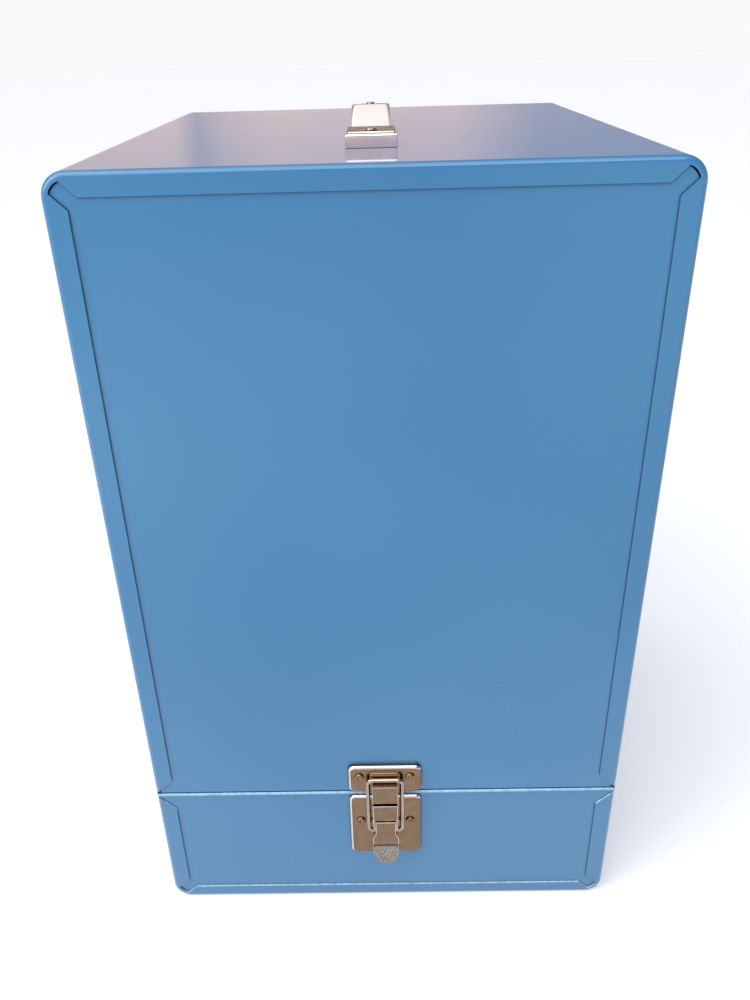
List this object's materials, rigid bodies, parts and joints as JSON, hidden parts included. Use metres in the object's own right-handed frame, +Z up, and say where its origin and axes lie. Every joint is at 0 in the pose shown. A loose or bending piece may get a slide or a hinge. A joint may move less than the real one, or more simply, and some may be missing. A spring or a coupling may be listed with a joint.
{
  "type": "lantern carrying case",
  "caption": "Tall sheet-steel carrying case for a lantern: base tray, hinged cover, front draw latch and lifting strap handle on top.",
  "frame": {"origin": "middle of the base's underside, on the surface the case stands on", "axes": "+Z up, +Y from the latch towards the rear hinge, +X to the right seen from the latch"},
  "size_m": [0.235, 0.2493, 0.3991],
  "materials": {
    "blue_paint": "glossy stoved enamel",
    "nickel_plate": "bright nickel plating",
    "zinc_plate": "zinc plated steel",
    "spring_steel": "plain spring steel",
    "cream_plastic": "smooth soft vinyl"
  },
  "bodies": {
    "base": {"base_wrap": "blue_paint", "base_front_panel": "blue_paint", "base_rear_panel": "blue_paint", "base_collar": "blue_paint", "lantern_seat_ring": "blue_paint", "hinge_lower_leaf": "zinc_plate", "hinge_lower_rivets": "nickel_plate", "hinge_pin": "zinc_plate", "latch_base_plate": "nickel_plate", "latch_base_rivets": "nickel_plate", "lever_pivot_pin": "nickel_plate"},
    "cover": {"cover_wrap": "blue_paint", "cover_front_panel": "blue_paint", "cover_rear_panel": "blue_paint", "hinge_upper_leaf": "zinc_plate", "hinge_upper_rivets": "nickel_plate", "strike_plate": "nickel_plate", "strike_rivets": "nickel_plate", "handle_cap_front": "nickel_plate", "handle_cap_rear": "nickel_plate", "handle_rivets": "nickel_plate"},
    "lever": {"latch_lever": "nickel_plate"},
    "bail": {"latch_bail": "nickel_plate"},
    "handle": {"handle_sleeve": "cream_plastic", "handle_core": "spring_steel"}
  },
  "joints": [
    {"name": "cover_hinge", "type": "hinge", "parent": "base", "child": "cover", "pos_m": [0, 0.1194, 0.081], "axis": [-1, 0, 0], "range_deg": [0, 104]},
    {"name": "lever_pivot", "type": "hinge", "parent": "base", "child": "lever", "pos_m": [0, -0.1223, 0.0654], "axis": [-1, 0, 0], "range_deg": [0, 110]},
    {"name": "bail_pivot", "type": "hinge", "parent": "lever", "child": "bail", "pos_m": [0, -0.1223, 0.0589], "axis": [-1, 0, 0], "range_deg": [-124, 0]},
    {"name": "handle_lift", "type": "slide", "parent": "cover", "child": "handle", "axis": [0, 0, 1], "range_m": [0, 0.014], "deforming": ["handle_sleeve", "handle_core"]}
  ],
  "couplings": [
    {"joint": "bail_pivot", "follows": "lever_pivot", "ratio": -1.12}
  ]
}
